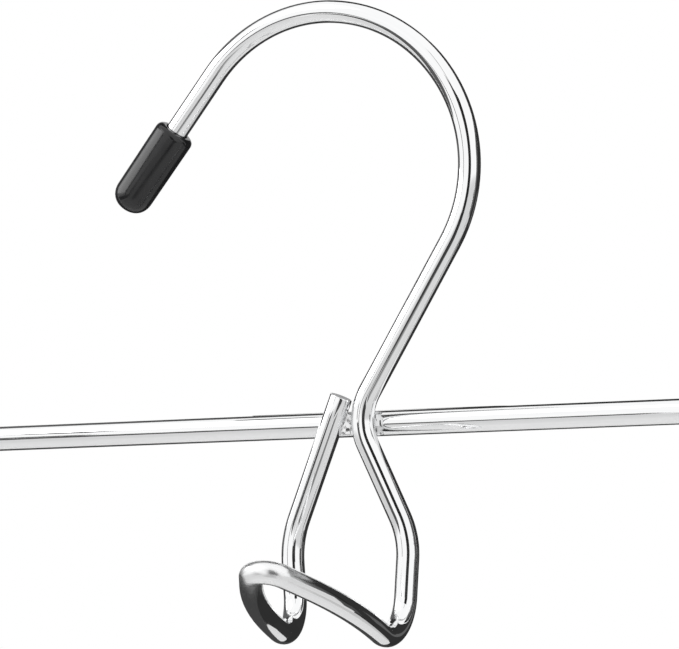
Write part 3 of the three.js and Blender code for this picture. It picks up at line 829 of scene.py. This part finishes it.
def make_jaw(clip, which, side, ear_span, centre):
    vertices, faces = jaw_sheet(side, ear_span)
    node = f"{clip}_{which}_jaw"
    obj = make_object(f"{node}_plate", [centre + v for v in vertices], faces, PLATED_STEEL,
                      PLATE_SHARP_DEGREES)
    thickness = obj.modifiers.new("thickness", "SOLIDIFY")
    thickness.thickness = PLATE
    thickness.offset = 0
    thickness.use_even_offset = True
    edges = obj.modifiers.new("edges", "BEVEL")
    edges.width = PLATE_EDGE
    edges.segments = PLATE_EDGE_SEGMENTS
    edges.limit_method = "ANGLE"
    edges.angle_limit = math.radians(PLATE_SHARP_DEGREES)
    shading = obj.modifiers.new("shading", "WEIGHTED_NORMAL")
    shading.keep_sharp = True
    return stands_for(obj, node, f"{clip}_{which}")


def rounded_rectangle(half_width, low, high, corner, steps=6):
    """Loop of (x, offset) points round a rectangle with rounded corners."""
    corner = min(corner, (high - low) / 2, half_width)
    centres = [(half_width - corner, high - corner), (corner - half_width, high - corner),
               (corner - half_width, low + corner), (half_width - corner, low + corner)]
    loop = []
    for quarter, (x, o) in enumerate(centres):
        for i in range(steps + 1):
            angle = math.pi / 2 * (quarter + i / steps)
            loop.append((x + corner * math.cos(angle), o + corner * math.sin(angle)))
    return loop


def round_inset(distance, radius):
    """How far a rounded edge of that radius draws in at a distance from its end."""
    left = max(0, radius - distance)
    return radius - math.sqrt(radius * radius - left * left)


def pad_rows():
    """Heights of the pad's loops from its top edge to its foot, close at both rounded ends."""
    foot = LIP_BOTTOM + PAD_SLACK + PAD_WALL
    share = [(1 - math.cos(math.radians(a))) for a in range(0, 91, 10)]
    top = [PAD_TOP + PAD_EDGE * s for s in share]
    bottom = [foot - PAD_CORNER * s for s in share][::-1]
    middle = np.arange(top[-1] + PAD_ROW_STEP, bottom[0], PAD_ROW_STEP)
    return [*top, *middle, *bottom], foot


def pad_sleeve(side):
    """A vinyl sleeve: rounded outside, grip grooves on its closing face and a slot that the lip fills."""
    rows, foot = pad_rows()
    half_width = LIP_WIDTH / 2 + PAD_SLACK + PAD_WALL
    face = PAD_FACE_GAP / 2
    back = LIP_OFFSET + PLATE / 2 + PAD_SLACK + PAD_WALL
    slot_half = PLATE / 2 + PAD_SLACK
    slot_foot = LIP_BOTTOM + PAD_SLACK
    groove_top = PAD_TOP + PAD_GROOVES_FROM_TOP
    groove_pitch = (foot - PAD_GROOVES_FROM_FOOT - groove_top) / PAD_GROOVES

    def groove(depth_below_bar):
        along = (depth_below_bar - groove_top) / groove_pitch
        inside = 0 < along < PAD_GROOVES
        return PAD_GROOVE_DEPTH * math.sin(math.pi * along) ** 2 if inside else 0

    slot = rounded_rectangle(LIP_WIDTH / 2 + PAD_SLACK, LIP_OFFSET - slot_half, LIP_OFFSET + slot_half,
                             PAD_SLOT_CORNER)
    loops = [(slot, slot_foot), (slot, PAD_TOP)]
    for depth in rows:
        top_inset = round_inset(depth - PAD_TOP, PAD_EDGE) * PAD_TOP_ROUND_SHARE
        inset = max(top_inset, round_inset(foot - depth, PAD_EDGE))
        side_inset = max(top_inset, round_inset(foot - depth, PAD_CORNER))
        front = face + inset + groove(depth)
        loops.append((rounded_rectangle(half_width - side_inset, front, back - inset, PAD_EDGE), depth))
    sides = len(loops[0][0])
    vertices = [Vector((x, side * o, -depth)) for loop, depth in loops for x, o in loop]
    faces = ring_faces(len(loops), sides)
    last = (len(loops) - 1) * sides
    faces += [tuple(range(sides)), tuple(range(last, last + sides))]
    return vertices, faces


def make_pad(clip, which, side, centre):
    vertices, faces = pad_sleeve(side)
    node = f"{clip}_{which}_pad"
    obj = make_object(f"{node}_vinyl", [centre + v for v in vertices], faces, VINYL)
    return stands_for(obj, node, f"{clip}_{which}")


def spring_line():
    """Middle line of the torsion spring, from its front leg to its rear leg, and half its coil's length."""
    tab_lean = math.atan2(TAB_OFFSET - WEB_OFFSET, TAB_HEIGHT - WEB_HALF_HEIGHT)
    tab_offset = WEB_OFFSET + (SPRING_LEG_HEIGHT - WEB_HALF_HEIGHT) * math.tan(tab_lean)
    from_tab = (PLATE / 2 + SPRING_TAB_GAP + SPRING_WIRE_RADIUS) / math.cos(tab_lean)
    leg_offset = tab_offset - from_tab
    reach = math.hypot(leg_offset, SPRING_LEG_HEIGHT)
    lean = math.acos(SPRING_RADIUS / reach) - math.atan2(SPRING_LEG_HEIGHT, leg_offset)
    sweep = math.pi - 2 * lean + 2 * math.pi * SPRING_FULL_TURNS
    half_length = SPRING_PITCH * sweep / (4 * math.pi)
    steps = round(sweep / (2 * math.pi) * SPRING_STEPS_PER_TURN)
    coil = []
    for i in range(steps + 1):
        angle = math.pi + lean + sweep * i / steps
        x = half_length * (2 * i / steps - 1)
        coil.append(Vector((x, SPRING_RADIUS * math.cos(angle), SPRING_RADIUS * math.sin(angle))))
    front_end = Vector((-half_length, -leg_offset, SPRING_LEG_HEIGHT))
    rear_end = Vector((half_length, leg_offset, SPRING_LEG_HEIGHT))
    return [front_end, *coil, rear_end], half_length


def make_spring(clip, centre):
    """The coil between its two legs, each leg beside its own jaw's tab, as one mesh tied to neither jaw."""
    line, half_length = spring_line()
    points = with_steps([centre + p for p in line], SPRING_LEG_STEP)
    vertices, faces, _ = tube(points, SPRING_WIRE_RADIUS, SPRING_SIDES, SPRING_END_ROUND)
    node = f"{clip}_spring"
    obj = make_object(f"{node}_coil", vertices, faces, SPRING_STEEL)
    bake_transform(obj)
    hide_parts(node)
    return obj


def make_clip(clip):
    low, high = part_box(f"{clip}_front_jaw")
    centre = Vector(((low.x + high.x) / 2, BAR_Y, BAR_Z))
    make_jaw(clip, "front", -1, FRONT_EAR_SPAN, centre)
    make_jaw(clip, "rear", 1, REAR_EAR_SPAN, centre)
    make_pad(clip, "front", -1, centre)
    make_pad(clip, "rear", 1, centre)
    make_spring(clip, centre)


# Stage: camera, floor, surroundings and lamps

def view_axes():
    """The photograph's right, up and towards-the-camera directions."""
    ahead = Vector((math.sin(VIEW_YAW), -math.cos(VIEW_YAW), 0))
    towards = ahead * math.cos(VIEW_PITCH) + Vector((0, 0, math.sin(VIEW_PITCH)))
    level = Vector((math.cos(VIEW_YAW), math.sin(VIEW_YAW), 0))
    upright = towards.cross(level)
    right = level * math.cos(VIEW_ROLL) - upright * math.sin(VIEW_ROLL)
    up = level * math.sin(VIEW_ROLL) + upright * math.cos(VIEW_ROLL)
    return right, up, towards


def make_camera():
    right, up, towards = view_axes()
    data = bpy.data.cameras.new("photo_camera")
    data.lens = LENS_MM
    data.sensor_width = SENSOR_MM
    data.sensor_fit = "HORIZONTAL"
    camera = bpy.data.objects.new("photo_camera", data)
    turn = Matrix((right, up, towards)).transposed()
    camera.matrix_world = Matrix.Translation(AIM_POINT + towards * VIEW_DISTANCE) @ turn.to_4x4()
    bpy.context.scene.collection.objects.link(camera)
    bpy.context.scene.camera = camera


def make_world():
    """White to the eye and in reflections, softer as a light."""
    world = bpy.data.worlds.new("studio")
    bpy.context.scene.world = world
    world.use_nodes = True
    tree = world.node_tree
    fill = tree.nodes["Background"]
    fill.inputs["Color"].default_value = (FILL_LIGHT, FILL_LIGHT, FILL_LIGHT, 1)
    white = tree.nodes.new("ShaderNodeBackground")
    white.inputs["Color"].default_value = (1, 1, 1, 1)
    mix = tree.nodes.new("ShaderNodeMixShader")
    tree.links.new(seen_rays(tree), mix.inputs["Fac"])
    tree.links.new(fill.outputs["Background"], mix.inputs[1])
    tree.links.new(white.outputs["Background"], mix.inputs[2])
    tree.links.new(mix.outputs["Shader"], tree.nodes["World Output"].inputs["Surface"])


def seen_rays(tree):
    """1 for rays from the camera, from a reflection or through glass, else 0."""
    path = tree.nodes.new("ShaderNodeLightPath")
    total = path.outputs["Is Camera Ray"]
    for name in ("Is Glossy Ray", "Is Transmission Ray"):
        add = tree.nodes.new("ShaderNodeMath")
        add.operation = "MAXIMUM"
        tree.links.new(total, add.inputs[0])
        tree.links.new(path.outputs[name], add.inputs[1])
        total = add.outputs["Value"]
    return total


def floor_material():
    """Pale matt paper with a faint mottle that fades to the white background far from the object."""
    material, tree, shader = new_material("pale_floor")
    mottle = colour_ramp(tree, object_noise(tree, 3), (0.87, 0.87, 0.87), (0.9, 0.9, 0.9))
    tree.links.new(mottle, shader.inputs["Base Color"])
    shader.inputs["Roughness"].default_value = 0.9
    shader.inputs["Specular IOR Level"].default_value = 0.1
    place = tree.nodes.new("ShaderNodeTexCoord")
    distance = tree.nodes.new("ShaderNodeVectorMath")
    distance.operation = "LENGTH"
    tree.links.new(place.outputs["Object"], distance.inputs[0])
    fade = tree.nodes.new("ShaderNodeMapRange")
    fade.interpolation_type = "SMOOTHSTEP"
    fade.inputs["From Min"].default_value = FLOOR_FADE_START
    fade.inputs["From Max"].default_value = FLOOR_RADIUS
    tree.links.new(distance.outputs["Value"], fade.inputs["Value"])
    far = tree.nodes.new("ShaderNodeMath")
    far.operation = "MULTIPLY"
    tree.links.new(fade.outputs["Result"], far.inputs[0])
    tree.links.new(seen_rays(tree), far.inputs[1])
    white = tree.nodes.new("ShaderNodeEmission")
    mix = tree.nodes.new("ShaderNodeMixShader")
    tree.links.new(far.outputs["Value"], mix.inputs["Fac"])
    tree.links.new(shader.outputs["BSDF"], mix.inputs[1])
    tree.links.new(white.outputs["Emission"], mix.inputs[2])
    tree.links.new(mix.outputs["Shader"], tree.nodes["Material Output"].inputs["Surface"])
    return material


def make_floor():
    mesh = bpy.data.meshes.new("floor")
    disc = bmesh.new()
    bmesh.ops.create_circle(disc, cap_ends=True, radius=FLOOR_RADIUS, segments=FLOOR_SIDES)
    disc.to_mesh(mesh)
    disc.free()
    floor = bpy.data.objects.new("floor", mesh)
    floor.location.z = cad_box[0].z - FLOOR_DROP
    bpy.context.scene.collection.objects.link(floor)
    mesh.materials.append(floor_material())


def front_direction(across, above):
    """A direction so many degrees to the right of the camera's and above it."""
    right, up, towards = view_axes()
    spread = math.radians(math.hypot(across, above))
    turn = math.atan2(above, across)
    return (right * math.cos(turn) + up * math.sin(turn)) * math.sin(spread) + towards * math.cos(spread)


def box_corners(across, above):
    return [(across[0], above[0]), (across[1], above[0]), (across[1], above[1]), (across[0], above[1])]


def card_material():
    """Glows in the grey that each card's corners have been given, lit by no lamp: painted light and shade
    for reflections.
    """
    material = bpy.data.materials.new("studio_card")
    material.use_nodes = True
    tree = material.node_tree
    tree.nodes.clear()
    shade = tree.nodes.new("ShaderNodeAttribute")
    shade.attribute_name = "shade"
    glow = tree.nodes.new("ShaderNodeEmission")
    tree.links.new(shade.outputs["Fac"], glow.inputs["Color"])
    output = tree.nodes.new("ShaderNodeOutputMaterial")
    tree.links.new(glow.outputs["Emission"], output.inputs["Surface"])
    return material


CARD = card_material()


def make_card(name, corners, shade):
    """A flat glowing card that only reflections show, a painted reflection: of one grey, or fading from its
    first corners to its last.
    """
    first, last = shade if isinstance(shade, tuple) else (shade, shade)
    card = make_object(name, corners, [(0, 1, 2, 3)], CARD)
    greys = card.data.attributes.new("shade", "FLOAT", "POINT")
    greys.data.foreach_set("value", [first, first, last, last])
    card.visible_camera = False
    card.visible_diffuse = False
    card.visible_shadow = False


def front_card(name, corners, shade, seen_from=AIM_POINT, distance=CARD_DISTANCE):
    """A card before the object, with corners in degrees to the right of the camera and above it."""
    make_card(name, [seen_from + front_direction(x, y) * distance for x, y in corners], shade)


def level_card(name, centre, turns, reaches, shade):
    """A level card left of a point: from one turn left of the camera to another, between two distances."""
    near, far = reaches
    corners = []
    for turn, reach in ((turns[0], near), (turns[0], far), (turns[1], far), (turns[1], near)):
        heading = VIEW_YAW - math.radians(turn)
        corners.append(centre + reach * Vector((math.sin(heading), -math.cos(heading), 0)))
    make_card(name, corners, shade)


def studio_card(name, corners, shade):
    """A card with corners in card distances to the right, up and towards the camera."""
    right, up, towards = view_axes()
    places = [right * x + up * y + towards * z for x, y, z in corners]
    make_card(name, [AIM_POINT + CARD_DISTANCE * place for place in places], shade)


def right_card(name, right, corners, shade):
    """A card that stands on the right, with corners up and towards the camera."""
    studio_card(name, [(right, y, z) for y, z in corners], shade)


def back_card(name, corners, shade):
    """A card that stands behind, with corners to the right and up."""
    studio_card(name, [(x, y, -1) for x, y in corners], shade)


def shade_card(name, first, second, shade):
    """A card between two edges, each so far right and up and running from a near to a far depth."""
    (x, y, near, far), (other_x, other_y, other_near, other_far) = first, second
    corners = [(x, y, near), (other_x, other_y, other_near), (other_x, other_y, other_far), (x, y, far)]
    studio_card(name, corners, shade)


def make_front_cards():
    """Glowing cards that paint the reflections of the dark slot that the camera stands in, the table before
    it and the gaps beside the left lamp.
    """
    front_card("camera_slot", box_corners((-8, 16), (-10, 28)), 0.02)
    slot_foot = [(-18, -30), (12, -30), (16, -8), (-10, -8)]
    front_card("slot_foot", slot_foot, (0.06, 0.02), NEAR_CARD_SEEN_FROM, NEAR_CARD_DISTANCE)
    front_card("slot_top", box_corners((-1, 4), (28, 46)), 0.5)
    # Painted reflection of the table: pale low down and dark next to the slot above it.
    front_card("front_table", box_corners((-20, 14), (-39, -24)), (0.75, 0.08))
    front_card("left_gap", [(-59, -20), (-35, -15), (-35, -6), (-59, -7)], 0.08)
    front_card("softbox_edge", box_corners((-60, -55), (-6, 30)), 0.05)


def make_hook_cards():
    """Glowing cards that paint reflections: a dark board left of the hook whose underside glows as white as
    the background, and a dark card behind the hook's opening that darkens its inner edge.
    """
    board = HOOK_CENTRE + BOARD_FROM_HOOK_CENTRE
    level_card("hook_board", board, (56, 108), (0.12, 0.32), 0.1)
    level_card("board_underside", board - BOARD_THICKNESS, (54, 110), (0.115, 0.325), 1)
    shade_fold = (0.005, -0.007, -0.038, -0.09)
    shade_card("hook_shade", (0.029, 0.007, -0.016, -0.075), shade_fold, 0.03)
    shade_card("shade_end", shade_fold, (-0.019, -0.003, -0.035, -0.09), 0.03)


def make_right_cards():
    """Glowing cards that paint reflections: a near dark screen with its foot and a streak behind it, then a
    dark wall over a pale table.
    """
    right_screen = [(-0.062, 0.07), (0.063, 0.07), (0.116, -0.021), (-0.062, -0.021)]
    right_card("right_screen", 0.21, right_screen, (0.18, 0.005))
    right_card("screen_foot", 0.21, box_corners((-0.134, -0.062), (0.019, -0.021)), 0.07)
    right_card("right_streak", 0.316, box_corners((-0.108, -0.023), (-0.128, -0.242)), 0.11)
    right_card("right_wall", 1, [(-0.6, -0.1), (-1.3, -1.1), (2.1, -1.1), (0.62, -0.2)], 0.03)
    right_table = [(-0.7, 0.3), (-0.7, -0.7), (-1.9, -0.7), (-1.9, 0.3)]
    right_card("right_table", 1.02, right_table, (0.52, 0.68))


def make_back_cards():
    """Glowing cards that paint reflections: a dark frame round the white background, which fades into a
    pale table below.
    """
    back_card("frame_right", [(0.33, -1.3), (1.05, -1.3), (1.05, 1.9), (0.33, 0.4)], 0.028)
    back_card("frame_below", box_corners((-2, 0.33), (-1.3, -0.05)), 0.055)
    back_card("table_fade", box_corners((-2, 1.05), (-2.6, -1.3)), (0.8, 0.055))
    back_card("frame_above", box_corners((-0.45, 1.05), (0.6, 2.2)), 0.035)
    back_card("frame_left", box_corners((-2.6, -0.38), (-0.05, 1.9)), 0.12)


def make_lamp(name, place, aim, size, power):
    data = bpy.data.lights.new(name, "AREA")
    data.shape = "RECTANGLE"
    data.size, data.size_y = size
    data.energy = power
    lamp = bpy.data.objects.new(name, data)
    lamp.location = place
    lamp.rotation_euler = (aim - place).to_track_quat("-Z", "Y").to_euler()
    bpy.context.scene.collection.objects.link(lamp)


bpy.context.scene.view_settings.view_transform = "Standard"
make_camera()
make_world()
make_floor()
make_front_cards()
make_hook_cards()
make_right_cards()
make_back_cards()
softbox_place = AIM_POINT + front_direction(*SOFTBOX_DEGREES) * SOFTBOX_DISTANCE
make_lamp("key", KEY_PLACE, AIM_POINT, KEY_SIZE, KEY_WATTS)
make_lamp("left_softbox", softbox_place, AIM_POINT, SOFTBOX_SIZE, SOFTBOX_WATTS)

make_hook_wire()
make_hook_cap()
make_bar()
make_weld("weld_middle", middle_weld_section)
make_weld("weld_stem", stem_weld_section)
for name, side in (("left_bar_cap", -1), ("right_bar_cap", 1)):
    make_bar_cap(name, side)
for clip in ("left_clip", "right_clip"):
    make_clip(clip)
